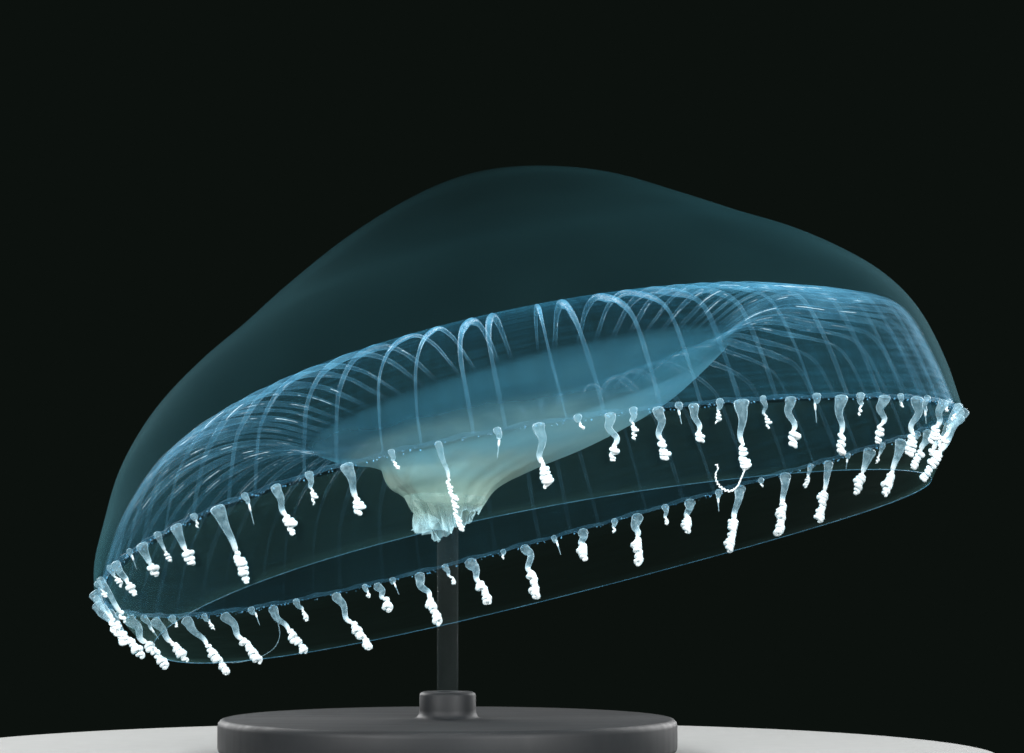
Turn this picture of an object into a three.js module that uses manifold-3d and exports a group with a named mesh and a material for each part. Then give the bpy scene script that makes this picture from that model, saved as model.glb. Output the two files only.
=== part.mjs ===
// Crystal jelly (Aequorea), a still life-size model banked on a small display stand.
// Millimetres, +Z up. The origin is the centre of the stand's underside, and the rod stands on it.
// The bell has its own frame inside a turned group: origin at the middle of the margin, +Z to the
// top of the bell, +X to its high side. Angles round the bell run from +X towards +Y.
import * as THREE from 'three';
import { mergeVertices } from 'three/addons/utils/BufferGeometryUtils.js';
import Module from 'manifold-3d';

const wasm = await Module();
wasm.setup();

// ---- driving dimensions --------------------------------------------------------------------

const fit = 0.3;                    // gap between solids that touch
const marginRadius = 50;
const marginHeight = 29;            // of the margin's middle, over the floor
const bankToSide = 12.5;            // degrees, high side up
const leanBack = 7.5;               // degrees, front edge up
const saddleHeight = 1.6;           // the margin isn't flat: it rises and falls twice
const saddleAngle = 65.6;

// Heights of the bell's two skins at growing radii, on the bell's high side and on its low side.
const outerRadii = [0, 8, 16, 25, 31, 36.5, 41, 45, 48, 49.5, 50];
const outerHigh = [38, 36.6, 34, 29.1, 25.6, 22.6, 19.5, 15.9, 11, 5, 0];
const outerLow = [38, 35.8, 32.5, 27.5, 23.6, 20.2, 16.7, 12, 6.1, 2.6, 0];
const innerRadii = [0, 12, 21, 25, 29, 33, 38, 42, 45.5, 48, 49.25];
const innerHigh = [10.6, 11.2, 12.6, 14.4, 15.9, 16.2, 14.9, 14.1, 12.6, 6.2, 0];
const innerLow = [10.6, 10, 9.6, 11.4, 13.2, 13.8, 13, 10.8, 7, 2.8, 0];
const outerShift = 1.5;             // how far the top of the bell leans to the high side
const innerShift = 2.4;
const crownRadius = 25;             // the thick middle of the bell ends here

const quadrants = 4;
const firstRadius = 26.3;           // degrees, where the first quadrant starts
const stepsPerQuadrant = 11;
const canalsPerQuadrant = 16;
const canalRadii = [23.5, 31, 40, 45.6];
const canalWidth = 0.6;
const canalDepth = 0.5;
const ringCanal = { radius: 48.9, halfWidth: 0.35 };

const velumThickness = 0.5;
const velumOuter = { radius: 48.4, height: -0.7 };
const velumInner = { radius: 44.5, height: -8.1 };
const velumForward = 3;             // the opening hangs this far towards the front
const velumSaddle = 0.65;           // share of the margin's saddle at the opening

// Stomach and mouth tube as rings that hang under each other: [low x, low z, high x, high z].
const stomachRings = [[-19, 9.1, 23, 12.1], [-17.6, 8.1, 18.3, 7.9], [-15.6, 7, 9.5, 4.9], [-15.4, 5, -0.4, 3.4]];
const manubriumRings = [[-15.3, 4.6, -0.6, 3], [-14.7, 2.4, -3.4, 1.4], [-13.1, -0.5, -6, 0.1]];
const lipRings = [[-13.1, -0.9, -6, -0.3], [-14, -1.8, -6, -1.1], [-12.8, -3, -7, -2.3]];
const mouth = new THREE.Vector3(-9.4, 0, -0.5);
const lipFrills = 5;
const lipFrillDepth = 0.22;
const stomachRoofRadii = [9, 20];
const segmentsOf = { stomach: 24, manubrium: 18, lips: 30 };

const largeTentacles = 44;
const tentacleLean = { middle: 25, change: 11 };       // degrees inwards, more at the back
const tentacleRoot = { radius: 50.4, drop: 0.4 };
// Degrees: the tentacles stand wider apart before such a place and crowd after it.
const crowding = [{ at: 269, width: 19, shift: 10 }, { at: 122, width: 8, shift: -3.5 }];
// Length of each large tentacle, in order round the margin, one row for each quadrant.
const tentacleLengths = [
  4.8, 3.5, 7, 7.8, 9, 4.8, 7.6, 4.7, 8.6, 7.3, 8.6,
  4.4, 9.4, 7.7, 8, 8.8, 6.4, 7.4, 6.4, 5.4, 6.2, 5,
  4, 3.6, 4.4, 8.4, 5.2, 5.2, 9.2, 6.4, 4.6, 5.2, 3.8,
  7, 5, 6, 4.8, 6.2, 4.6, 6, 5.4, 6.4, 5.6, 5,
];
const smallTentacleLengths = [2.2, 1.5, 2.8, 1.2, 2, 3];
const smallRootRadius = 49.65;
// Half widths down a large tentacle; stalkEnd is a share of its length.
const tentacleShape = {
  root: 0.85, bulb: 0.72, bulbLength: 0.7, stalk: 0.3, stalkEnd: 0.45,
  coil: 0.62, coilTaper: 0.06, waist: 0.42, shortLength: 5, sides: 5,
};
const smallShape = { apex: 0.35, bulb: 0.5, bulbDrop: 0.45, tip: 0.3, tipShare: 0.65, sides: 4 };
const stalkSway = { reach: 0.35, phase: 2.4 };

const rodRadius = 1.2;
const rodSegments = 16;
const rodEntryRadius = 12;          // on the low side, where the rod meets the bell
const rodSocketDepth = 2;           // into the thick middle of the bell
const base = {
  radius: 26, height: 4, edge: 0.8, collarRadius: 3.2, collarHeight: 7, socketFloor: 1.5, segments: 28,
};

// ---- materials -----------------------------------------------------------------------------

function material(color, roughness, opacity = 1) {
  return new THREE.MeshStandardMaterial({ color, roughness, metalness: 0, opacity, transparent: opacity < 1 });
}
const jellyMaterial = material(0x2c5558, 0.15, 0.45);
const velumMaterial = material(0x6f9aa6, 0.2, 0.4);
const canalMaterial = material(0x9cc4d4, 0.35, 0.8);
const stomachMaterial = material(0x8fb2b8, 0.45, 0.85);
const lipMaterial = material(0xd2dcd4, 0.5);
const tentacleMaterial = material(0xeef6f8, 0.4);
const rodMaterial = material(0xdfe6e8, 0.05, 0.4);
const baseMaterial = material(0x16191c, 0.4);

// ---- small geometry tools ------------------------------------------------------------------

const radians = THREE.MathUtils.degToRad;

function heightAt(radii, heights, radius) {
  let i = 1;
  while (i < radii.length - 1 && radius > radii[i]) i += 1;
  const t = (radius - radii[i - 1]) / (radii[i] - radii[i - 1]);
  return THREE.MathUtils.lerp(heights[i - 1], heights[i], t);
}

function saddle(radius, angle, share = 1) {
  const wave = Math.cos(2 * (angle - radians(saddleAngle)));
  return share * saddleHeight * (radius / marginRadius) ** 2 * wave;
}

// A point on one of the bell's skins, whose height blends from the high side to the low side.
function skinPoint(radii, high, low, shift, radius, angle) {
  const highShare = (1 + Math.cos(angle)) / 2;
  const height = THREE.MathUtils.lerp(heightAt(radii, low, radius), heightAt(radii, high, radius), highShare);
  const edgeRadius = radii[radii.length - 1];
  const lean = shift * (1 - (radius / edgeRadius) ** 2);
  const rise = saddle(radius, angle);
  return new THREE.Vector3(radius * Math.cos(angle) + lean, radius * Math.sin(angle), height + rise);
}
const outerPoint = (radius, angle) => skinPoint(outerRadii, outerHigh, outerLow, outerShift, radius, angle);
const innerPoint = (radius, angle) => skinPoint(innerRadii, innerHigh, innerLow, innerShift, radius, angle);

// The same point moved off the inner skin into the cavity, and along the skin round the bell.
function underInnerSkin(radius, angle, depth, sideways = 0) {
  const here = innerPoint(radius, angle);
  const [stepOut, stepRound] = [0.05, 0.01];
  const out = innerPoint(radius + stepOut, angle).sub(innerPoint(radius - stepOut, angle)).normalize();
  const round = innerPoint(radius, angle + stepRound).sub(innerPoint(radius, angle - stepRound)).normalize();
  const up = new THREE.Vector3().crossVectors(out, round).normalize();
  return here.addScaledVector(up, -depth).addScaledVector(round, sideways);
}

function geometryFrom(points, faces) {
  const geometry = new THREE.BufferGeometry();
  geometry.setAttribute('position', new THREE.Float32BufferAttribute(points.flatMap((p) => [p.x, p.y, p.z]), 3));
  geometry.setIndex(faces);
  return outwards(geometry);
}

// Turns a closed geometry's faces outwards, by the sign of its volume.
function outwards(geometry) {
  const p = geometry.attributes.position;
  const index = geometry.index.array;
  const [a, b, c] = [new THREE.Vector3(), new THREE.Vector3(), new THREE.Vector3()];
  let volume = 0;
  for (let i = 0; i < index.length; i += 3) {
    a.fromBufferAttribute(p, index[i]);
    b.fromBufferAttribute(p, index[i + 1]);
    c.fromBufferAttribute(p, index[i + 2]);
    volume += a.dot(b.cross(c));
  }
  if (volume < 0) {
    for (let i = 0; i < index.length; i += 3) [index[i], index[i + 1]] = [index[i + 1], index[i]];
  }
  geometry.computeVertexNormals();
  return geometry;
}

// A closed solid through rings of equal point counts, closed at each end by a fan to one point.
function loft(rings, start, end) {
  const sides = rings[0].length;
  const points = [start, ...rings.flat(), end];
  const at = (ring, side) => 1 + ring * sides + (side % sides);
  const faces = [];
  for (let s = 0; s < sides; s += 1) {
    faces.push(0, at(0, s + 1), at(0, s));
    faces.push(points.length - 1, at(rings.length - 1, s), at(rings.length - 1, s + 1));
    for (let r = 0; r < rings.length - 1; r += 1) {
      faces.push(at(r, s), at(r, s + 1), at(r + 1, s + 1));
      faces.push(at(r, s), at(r + 1, s + 1), at(r + 1, s));
    }
  }
  return geometryFrom(points, faces);
}

// A wall between two faces, swept through sections round the bell. Each section is a list of
// [outer, inner] point pairs, and the wall either closes on itself or ends in two flat cuts.
function wall(sections, closes) {
  const rows = sections[0].length;
  const points = sections.flat(2);
  const at = (section, row, side) => 2 * ((section % sections.length) * rows + row) + side;
  const faces = [];
  const quad = (a, b, c, d) => faces.push(a, b, c, a, c, d);
  const spans = closes ? sections.length : sections.length - 1;
  for (let s = 0; s < spans; s += 1) {
    for (let r = 0; r < rows - 1; r += 1) {
      quad(at(s, r, 0), at(s, r + 1, 0), at(s + 1, r + 1, 0), at(s + 1, r, 0));
      quad(at(s, r, 1), at(s + 1, r, 1), at(s + 1, r + 1, 1), at(s, r + 1, 1));
    }
    quad(at(s, 0, 0), at(s + 1, 0, 0), at(s + 1, 0, 1), at(s, 0, 1));
    quad(at(s, rows - 1, 0), at(s, rows - 1, 1), at(s + 1, rows - 1, 1), at(s + 1, rows - 1, 0));
  }
  if (!closes) {
    const last = sections.length - 1;
    for (let r = 0; r < rows - 1; r += 1) {
      quad(at(0, r, 0), at(0, r, 1), at(0, r + 1, 1), at(0, r + 1, 0));
      quad(at(last, r, 0), at(last, r + 1, 0), at(last, r + 1, 1), at(last, r, 1));
    }
  }
  return geometryFrom(points, faces);
}

const weldDistance = 1e-5;

function toSolid(geometry) {
  const bare = new THREE.BufferGeometry();
  bare.setAttribute('position', geometry.attributes.position);
  bare.setIndex(geometry.index);
  const merged = mergeVertices(bare, weldDistance);
  const vertProperties = new Float32Array(merged.attributes.position.array);
  const triVerts = new Uint32Array(merged.index.array);
  return new wasm.Manifold(new wasm.Mesh({ numProp: 3, vertProperties, triVerts }));
}

function toGeometry(solid) {
  const mesh = solid.getMesh();
  const geometry = new THREE.BufferGeometry();
  geometry.setAttribute('position', new THREE.Float32BufferAttribute(mesh.vertProperties, 3));
  geometry.setIndex(Array.from(mesh.triVerts));
  geometry.computeVertexNormals();
  return geometry;
}

function addMesh(parent, name, geometry, meshMaterial) {
  const mesh = new THREE.Mesh(geometry, meshMaterial);
  mesh.name = name;
  parent.add(mesh);
  return mesh;
}

// ---- groups --------------------------------------------------------------------------------

const group = new THREE.Group();

// The bell hangs so that its mouth is on the rod, which stands at the origin.
const bell = new THREE.Group();
bell.rotation.set(-radians(leanBack), -radians(bankToSide), 0, 'YXZ');
bell.updateMatrix();
const mouthTurned = mouth.clone().applyMatrix4(bell.matrix);
bell.position.set(-mouthTurned.x, -mouthTurned.y, marginHeight);
bell.updateMatrix();
group.add(bell);

// ---- display stand -------------------------------------------------------------------------

// The rod goes up through the mouth and the stomach and ends in a socket in the bell.
function rodTop() {
  const atBell = innerPoint(rodEntryRadius, Math.PI);
  return atBell.applyMatrix4(bell.matrix).z + rodSocketDepth;
}

function rodGeometry(radius, bottom, top) {
  const rod = new THREE.CylinderGeometry(radius, radius, top - bottom, rodSegments);
  rod.rotateX(Math.PI / 2);
  rod.translate(0, 0, (top + bottom) / 2);
  return rod;
}

function baseGeometry() {
  const profile = [
    [0, 0], [base.radius - base.edge, 0], [base.radius, base.edge], [base.radius, base.height - base.edge],
    [base.radius - base.edge, base.height], [base.collarRadius, base.height],
    [base.collarRadius, base.collarHeight], [rodRadius + fit, base.collarHeight],
    [rodRadius + fit, base.socketFloor], [0, base.socketFloor],
  ].map(([x, y]) => new THREE.Vector2(x, y));
  const lathe = new THREE.LatheGeometry(profile, base.segments);
  lathe.rotateX(Math.PI / 2);
  return toGeometry(toSolid(lathe));
}

// The clearance that the rod needs, in the bell's own frame.
function rodClearance() {
  const clearance = rodGeometry(rodRadius + fit, 0, rodTop() + fit);
  return toSolid(clearance.applyMatrix4(bell.matrix.clone().invert()));
}
const clearance = rodClearance();
const boreForRod = (geometry) => toGeometry(toSolid(geometry).subtract(clearance));

addMesh(group, 'stand_base', baseGeometry(), baseMaterial);
addMesh(group, 'stand_rod', rodGeometry(rodRadius, base.socketFloor + fit, rodTop()), rodMaterial);

// ---- bell ----------------------------------------------------------------------------------

function anglesBetween(start, end, steps) {
  return Array.from({ length: steps + 1 }, (_, i) => THREE.MathUtils.lerp(start, end, i / steps));
}
const fullCircle = anglesBetween(0, 2 * Math.PI, quadrants * stepsPerQuadrant).slice(0, -1);
const quadrantStart = (q) => radians(firstRadius + (q * 360) / quadrants);

// The thick clear middle, with the socket for the rod.
function crownGeometry() {
  const ring = (skin, radius) => fullCircle.map((angle) => skin(radius, angle));
  const edge = crownRadius - fit / 2;
  const rings = [
    ...outerRadii.filter((r) => r > 0 && r < crownRadius).map((r) => ring(outerPoint, r)),
    ring(outerPoint, edge),
    ring(innerPoint, edge),
    ...innerRadii.filter((r) => r > 0 && r < crownRadius).reverse().map((r) => ring(innerPoint, r)),
  ];
  return boreForRod(loft(rings, outerPoint(0, 0), innerPoint(0, 0)));
}

// A quadrant of the wall runs from the crown over the vault and down to the thin margin.
function quadrantSections(q) {
  const outer = outerRadii.filter((r) => r >= crownRadius);
  const inner = innerRadii.filter((r) => r >= crownRadius);
  outer[0] += fit / 2;
  inner[0] += fit / 2;
  const halfGap = fit / 2 / crownRadius;
  const angles = anglesBetween(quadrantStart(q) + halfGap, quadrantStart(q + 1) - halfGap, stepsPerQuadrant);
  return angles.map((angle) => outer.map((r, i) => [outerPoint(r, angle), innerPoint(inner[i], angle)]));
}

// ---- tentacles -----------------------------------------------------------------------------

// Places round the margin: whole numbers are large tentacles, and halves are the small ones.
function tentacleAngle(place) {
  const even = firstRadius + (place * 360) / largeTentacles;
  const shifts = crowding.map(({ at, width, shift }) => shift * Math.exp(-(((even - at) / width) ** 2)));
  return radians(even + shifts.reduce((sum, shift) => sum + shift, 0));
}

function roundSection(x, y, z, radius, sides) {
  return Array.from({ length: sides }, (_, i) => {
    const angle = (2 * Math.PI * i) / sides;
    return new THREE.Vector3(x + radius * Math.cos(angle), y + radius * Math.sin(angle), z);
  });
}

// A large tentacle hangs down -Z from its root: a flat bulb, a thin stalk, and a tip that is
// wound up into a chain of tight turns. The stalk sways a little to one side.
function largeTentacleGeometry(length, sway) {
  const shape = tentacleShape;
  const turns = length < shape.shortLength ? 2 : 3;
  const stalkEnd = length * shape.stalkEnd;
  const pitch = (length - stalkEnd) / turns;
  const swayAt = (z) => sway * Math.sin((Math.PI * z) / length);
  const stations = [[0, shape.root], [shape.bulbLength, shape.bulb], [stalkEnd, shape.stalk]];
  for (let turn = 0; turn < turns; turn += 1) {
    stations.push([stalkEnd + (turn + 0.5) * pitch, shape.coil - shape.coilTaper * turn]);
    if (turn < turns - 1) stations.push([stalkEnd + (turn + 1) * pitch, shape.waist]);
  }
  const rings = stations.map(([z, radius]) => roundSection(0, swayAt(z), -z, radius, shape.sides));
  const dome = new THREE.Vector3(0, 0, 0.1);
  return loft(rings, dome, new THREE.Vector3(0, 0, -length));
}

// A small tentacle is a bulb under the margin, rooted by a point inside it, with a short thin tip.
function smallTentacleGeometry(length) {
  const shape = smallShape;
  const stations = [[shape.bulbDrop, shape.bulb], [length * shape.tipShare, shape.tip]];
  const rings = stations.map(([z, radius]) => roundSection(0, 0, -z, radius, shape.sides));
  return loft(rings, new THREE.Vector3(0, 0, shape.apex), new THREE.Vector3(0, 0, -length));
}

function placeOnMargin(object, angle, radius, drop) {
  const lean = radians(tentacleLean.middle + tentacleLean.change * Math.sin(angle));
  object.rotation.set(0, lean, angle, 'ZYX');
  object.position.set(radius * Math.cos(angle), radius * Math.sin(angle), saddle(radius, angle) - drop);
}

function smallTentacleSolid(place) {
  const length = smallTentacleLengths[Math.floor(place) % smallTentacleLengths.length];
  const placed = new THREE.Object3D();
  placeOnMargin(placed, tentacleAngle(place), smallRootRadius, 0);
  placed.updateMatrix();
  return toSolid(smallTentacleGeometry(length).applyMatrix4(placed.matrix));
}

function quadrantGeometry(q) {
  const perQuadrant = largeTentacles / quadrants;
  let solid = toSolid(wall(quadrantSections(q), false));
  for (let i = 0; i < perQuadrant; i += 1) {
    solid = solid.add(smallTentacleSolid(q * perQuadrant + i + 0.5));
  }
  return toGeometry(solid);
}

addMesh(bell, 'bell_crown', crownGeometry(), jellyMaterial);
for (let q = 0; q < quadrants; q += 1) {
  addMesh(bell, `bell_quadrant_${q + 1}`, quadrantGeometry(q), jellyMaterial);
}

for (let i = 0; i < largeTentacles; i += 1) {
  const sway = stalkSway.reach * Math.sin(stalkSway.phase * i);
  const name = `tentacle_${String(i + 1).padStart(2, '0')}`;
  const tentacle = addMesh(bell, name, largeTentacleGeometry(tentacleLengths[i], sway), tentacleMaterial);
  placeOnMargin(tentacle, tentacleAngle(i), tentacleRoot.radius, tentacleRoot.drop + fit);
}

// ---- canals --------------------------------------------------------------------------------

function ringCanalCentre(angle) {
  return underInnerSkin(ringCanal.radius, angle, fit + ringCanal.halfWidth);
}

// One fine canal runs under the inner skin from the stomach's edge to the ring canal, and its
// last stretch narrows to a point inside that.
function canalSolid(angle) {
  const half = canalWidth / 2;
  const rings = canalRadii.map((radius) => [
    underInnerSkin(radius, angle, fit, -half),
    underInnerSkin(radius, angle, fit, half),
    underInnerSkin(radius, angle, fit + canalDepth),
  ]);
  const first = rings[0];
  const start = first[0].clone().add(first[1]).add(first[2]).divideScalar(first.length);
  return toSolid(loft(rings, start, ringCanalCentre(angle)));
}

// The ring canal lies inside the margin and joins the radial canals of its quadrant.
function ringCanalSolid(q) {
  const cut = fit / marginRadius;
  const angles = anglesBetween(quadrantStart(q) + cut, quadrantStart(q + 1) - cut, stepsPerQuadrant);
  const half = ringCanal.halfWidth;
  const sections = angles.map((angle) => [half, -half].map((up) => [half, -half].map((out) => (
    ringCanalCentre(angle).add(new THREE.Vector3(out * Math.cos(angle), out * Math.sin(angle), up))))));
  return toSolid(wall(sections, false));
}

for (let q = 0; q < quadrants; q += 1) {
  let comb = ringCanalSolid(q);
  for (let i = 0; i < canalsPerQuadrant; i += 1) {
    const angle = quadrantStart(q + (i + 0.5) / canalsPerQuadrant);
    comb = comb.add(canalSolid(angle));
  }
  addMesh(bell, `canals_quadrant_${q + 1}`, toGeometry(comb), canalMaterial);
}

// ---- velum ---------------------------------------------------------------------------------

// The thin shelf that narrows the opening slopes inwards and down from the margin.
function velumGeometry() {
  const half = velumThickness / 2;
  const along = new THREE.Vector2(velumInner.radius - velumOuter.radius, velumInner.height - velumOuter.height);
  const across = new THREE.Vector2(-along.y, along.x).normalize().multiplyScalar(half);
  const sections = fullCircle.map((angle) => [[velumOuter, 1], [velumInner, velumSaddle]].map(([edge, share]) => {
    const rise = saddle(edge.radius, angle, share);
    return [1, -1].map((side) => {
      const radius = edge.radius + side * across.x;
      const height = edge.height + side * across.y + rise;
      const forward = velumForward * (edge === velumInner ? 1 : 0);
      return new THREE.Vector3(radius * Math.cos(angle), radius * Math.sin(angle) - forward, height);
    });
  }));
  return wall(sections, true);
}
addMesh(bell, 'velum', velumGeometry(), velumMaterial);

// ---- stomach and mouth ---------------------------------------------------------------------

// A level or tilted round ring between its low-side point and its high-side point.
function tiltedRing([lowX, lowZ, highX, highZ], segments, frill = 0) {
  const [middleX, middleZ] = [(lowX + highX) / 2, (lowZ + highZ) / 2];
  return Array.from({ length: segments }, (_, i) => {
    const angle = (2 * Math.PI * i) / segments;
    const reach = 1 + frill * Math.cos(lipFrills * angle);
    const radius = ((highX - lowX) / 2) * reach;
    const height = middleZ + ((highZ - lowZ) / 2) * Math.cos(angle);
    return new THREE.Vector3(middleX + radius * Math.cos(angle), radius * Math.sin(angle), height);
  });
}

function middleOf(ring) {
  return ring.reduce((sum, point) => sum.add(point), new THREE.Vector3()).divideScalar(ring.length);
}

// The stomach's roof follows the bell's inner skin, and its floor sags towards the mouth.
function stomachGeometry() {
  const segments = segmentsOf.stomach;
  const roof = stomachRoofRadii.map((radius) => Array.from({ length: segments }, (_, i) => (
    underInnerSkin(radius, (2 * Math.PI * i) / segments, fit))));
  const floor = stomachRings.map((ring) => tiltedRing(ring, segments));
  const top = innerPoint(0, 0).sub(new THREE.Vector3(0, 0, fit));
  return boreForRod(loft([...roof, ...floor], top, middleOf(floor[floor.length - 1])));
}

function tubeGeometry(tubeRings, segments, frills) {
  const rings = tubeRings.map((ring, i) => tiltedRing(ring, segments, frills[i]));
  return boreForRod(loft(rings, middleOf(rings[0]), middleOf(rings[rings.length - 1])));
}

addMesh(bell, 'stomach', stomachGeometry(), stomachMaterial);
addMesh(bell, 'manubrium', tubeGeometry(manubriumRings, segmentsOf.manubrium, [0, 0, 0]), stomachMaterial);
const lipFrillDepths = [0, lipFrillDepth, lipFrillDepth / 2];
addMesh(bell, 'mouth_lips', tubeGeometry(lipRings, segmentsOf.lips, lipFrillDepths), lipMaterial);

export default group;
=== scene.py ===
import math

import bpy
import numpy as np
from mathutils import Matrix, Vector


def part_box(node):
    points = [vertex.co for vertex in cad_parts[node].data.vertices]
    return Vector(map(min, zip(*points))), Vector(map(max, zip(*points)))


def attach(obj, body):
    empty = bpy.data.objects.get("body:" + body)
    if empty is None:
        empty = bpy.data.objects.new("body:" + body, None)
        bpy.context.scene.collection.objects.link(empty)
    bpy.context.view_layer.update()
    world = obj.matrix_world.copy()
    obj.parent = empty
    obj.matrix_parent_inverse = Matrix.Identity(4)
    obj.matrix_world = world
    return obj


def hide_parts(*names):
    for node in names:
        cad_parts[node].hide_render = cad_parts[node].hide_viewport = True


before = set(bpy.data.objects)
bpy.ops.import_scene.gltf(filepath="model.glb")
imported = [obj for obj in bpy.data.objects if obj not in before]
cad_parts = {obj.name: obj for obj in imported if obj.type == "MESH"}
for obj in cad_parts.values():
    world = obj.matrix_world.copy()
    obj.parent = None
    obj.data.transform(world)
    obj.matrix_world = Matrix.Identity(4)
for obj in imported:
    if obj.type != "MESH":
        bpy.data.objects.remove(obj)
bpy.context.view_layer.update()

# ---- Bell --------------------------------------------------------------------------------------
# One undivided piece of clear jelly: a thick lens over the middle whose wall thins to the margin.
# Its outer skin is almost invisible. Its inner skin, round the ring-shaped cavity, is milky blue,
# and fine swimming muscle runs round it.
MM = 0.001
BANK, LEAN = math.radians(12.5), math.radians(7.5)
MOUTH = Vector((-9.4, 0.0, -0.5))
MARGIN_HEIGHT, MARGIN_RADIUS = 29.0, 50.0
SADDLE, SADDLE_ANGLE = 1.6, math.radians(65.6)
# Each row is a radius and the skin's height there on the high side and on the low side, in mm.
OUTER_SKIN = [(0, 38, 38), (8, 36.6, 35.8), (16, 34, 32.5), (25, 29.1, 27.5), (31, 25.6, 23.6),
              (36.5, 22.6, 20.2), (41, 19.5, 16.7), (45, 15.9, 12), (48, 11, 6.1), (49.5, 5, 2.6), (50, 0, 0)]
INNER_SKIN = [(0, 10.6, 10.6), (12, 11.2, 10), (21, 12.6, 9.6), (25, 14.4, 11.4), (29, 15.9, 13.2),
              (33, 16.2, 13.8), (38, 14.9, 13), (42, 13.8, 10.8), (45.5, 12.3, 7), (48, 6.2, 2.8),
              (49.25, 0, 0)]
OUTER_LEAN, INNER_LEAN = 1.5, 2.4
# How milky the inner skin is at growing radii: most over the crest of the cavity.
INNER_MILK = [(0, 0.0015), (20, 0.0025), (26, 0.009), (31, 0.0195), (35, 0.019), (40, 0.0165), (46, 0.0135),
              (49.3, 0.018)]
# More of it over the crest on the bell's high side.
CREST_MILK = [(27, 0), (31, 0.012), (37, 0.012), (43, 0)]
# How milky the outer skin is, how much milkier it gets at the margin, and the edge between the skins.
OUTER_MILK, RIM_MILK, EDGE_MILK = 0.0135, 0.024, 0.02
BELL_COLUMNS, SKIN_ROWS, EDGE_ROWS = 288, 76, 4
# The radius of the smallest ring at a pole, and how far the rounded edge hangs below the margin, in mm.
POLE_RADIUS, EDGE_DROP = 0.02, 0.35
# Once round the margin, and from the crown round the margin to the middle of the roof, in mm.
ROUND_BELL, DOWN_BELL = 314.0, 150.0

turn = Matrix.Rotation(-BANK, 4, "Y") @ Matrix.Rotation(-LEAN, 4, "X")
hung = turn @ MOUTH
bell_pose = np.array(Matrix.Translation((-hung.x, -hung.y, MARGIN_HEIGHT)) @ turn)


def in_row_frame(points):
    """Points in the bell's own frame, in mm, as points in the row frame, in metres."""
    return (np.asarray(points) @ bell_pose[:3, :3].T + bell_pose[:3, 3]) * MM


def smooth_through(rows, count):
    """That many rows, evenly spaced on a smooth line through the given ones."""
    rows = np.asarray(rows, float)
    reach = np.r_[0, np.cumsum(np.linalg.norm(np.diff(rows, axis=0), axis=1))]
    slopes = np.gradient(rows, reach, axis=0)
    at = np.linspace(0, reach[-1], count)
    i = np.clip(np.searchsorted(reach, at, "right") - 1, 0, len(rows) - 2)
    span = (reach[i + 1] - reach[i])[:, None]
    t = (at - reach[i])[:, None] / span
    return ((2 * t**3 - 3 * t**2 + 1) * rows[i] + (t**3 - 2 * t**2 + t) * span * slopes[i]
            + (3 * t**2 - 2 * t**3) * rows[i + 1] + (t**3 - t**2) * span * slopes[i + 1])


def saddle(radius, angle, share=1.0):
    """The margin isn't flat: it rises and falls twice on its way round."""
    return share * SADDLE * (radius / MARGIN_RADIUS) ** 2 * np.cos(2 * (angle - SADDLE_ANGLE))


def skin_points(profile, lean, angles):
    """Points of a skin for each row of its profile and each angle round the bell."""
    radius, high, low = (profile[:, k, None] for k in range(3))
    angles = np.asarray(angles)[None, :]
    height = low + (high - low) * (1 + np.cos(angles)) / 2 + saddle(radius, angles)
    x = radius * np.cos(angles) + lean * (1 - (radius / profile[-1, 0]) ** 2)
    return np.stack(np.broadcast_arrays(x, radius * np.sin(angles), height), axis=-1)


def mesh_object(name, points, faces, materials, attributes=None):
    """A smooth mesh in the row frame, with a float attribute for each list of values."""
    mesh = bpy.data.meshes.new(name)
    mesh.from_pydata(np.asarray(points).reshape(-1, 3).tolist(), [], faces)
    for material in materials:
        mesh.materials.append(material)
    for key, values in (attributes or {}).items():
        layer = mesh.attributes.new(key, "FLOAT", "POINT")
        layer.data.foreach_set("value", np.asarray(values, np.float32).ravel())
    mesh.polygons.foreach_set("use_smooth", [True] * len(mesh.polygons))
    mesh.update()
    made = bpy.data.objects.new(name, mesh)
    bpy.context.scene.collection.objects.link(made)
    return made


def ring_faces(rows, columns, closed_start=False, closed_end=False):
    """Quads between rows of points that each close on themselves. Either end may be closed too."""
    faces = [tuple(range(columns))] if closed_start else []
    for r in range(rows - 1):
        for c in range(columns):
            a, b = r * columns + c, r * columns + (c + 1) % columns
            faces.append((a, a + columns, b + columns, b))
    if closed_end:
        faces.append(tuple((rows - 1) * columns + c for c in reversed(range(columns))))
    return faces


def add_uv(made, rows, columns):
    """A UV map on a ring grid: u runs once round, and v runs from the first row to the last."""
    layer = made.data.uv_layers.new(name="UVMap")
    values = np.zeros((len(made.data.loops), 2), np.float32)
    for polygon in made.data.polygons:
        columns_here = [made.data.loops[i].vertex_index % columns for i in polygon.loop_indices]
        wraps = max(columns_here) - min(columns_here) > columns / 2
        for i, c in zip(polygon.loop_indices, columns_here):
            row = made.data.loops[i].vertex_index // columns
            values[i] = ((c + columns if wraps and c < columns / 2 else c) / columns, row / rows)
    layer.data.foreach_set("uv", values.ravel())


def colour(text):
    """A hex sRGB colour as the linear values that shaders take."""
    parts = [int(text[i:i + 2], 16) / 255 for i in (1, 3, 5)]
    return [p / 12.92 if p <= 0.04045 else ((p + 0.055) / 1.055) ** 2.4 for p in parts] + [1.0]


def add(tree, kind, inputs=None, **settings):
    """Adds a node with its settings, and sets or links its inputs. A node given as an input is linked
    by its first output."""
    made = tree.nodes.new(kind)
    for key, value in settings.items():
        setattr(made, key, value)
    for key, value in (inputs or {}).items():
        if isinstance(value, bpy.types.Node):
            value = value.outputs[0]
        if isinstance(value, bpy.types.NodeSocket):
            tree.links.new(value, made.inputs[key])
        else:
            made.inputs[key].default_value = value
    return made


def new_material(name):
    """A new material with an empty node tree, and that tree."""
    material = bpy.data.materials.new(name)
    material.use_nodes = True
    material.node_tree.nodes.clear()
    return material, material.node_tree


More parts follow.
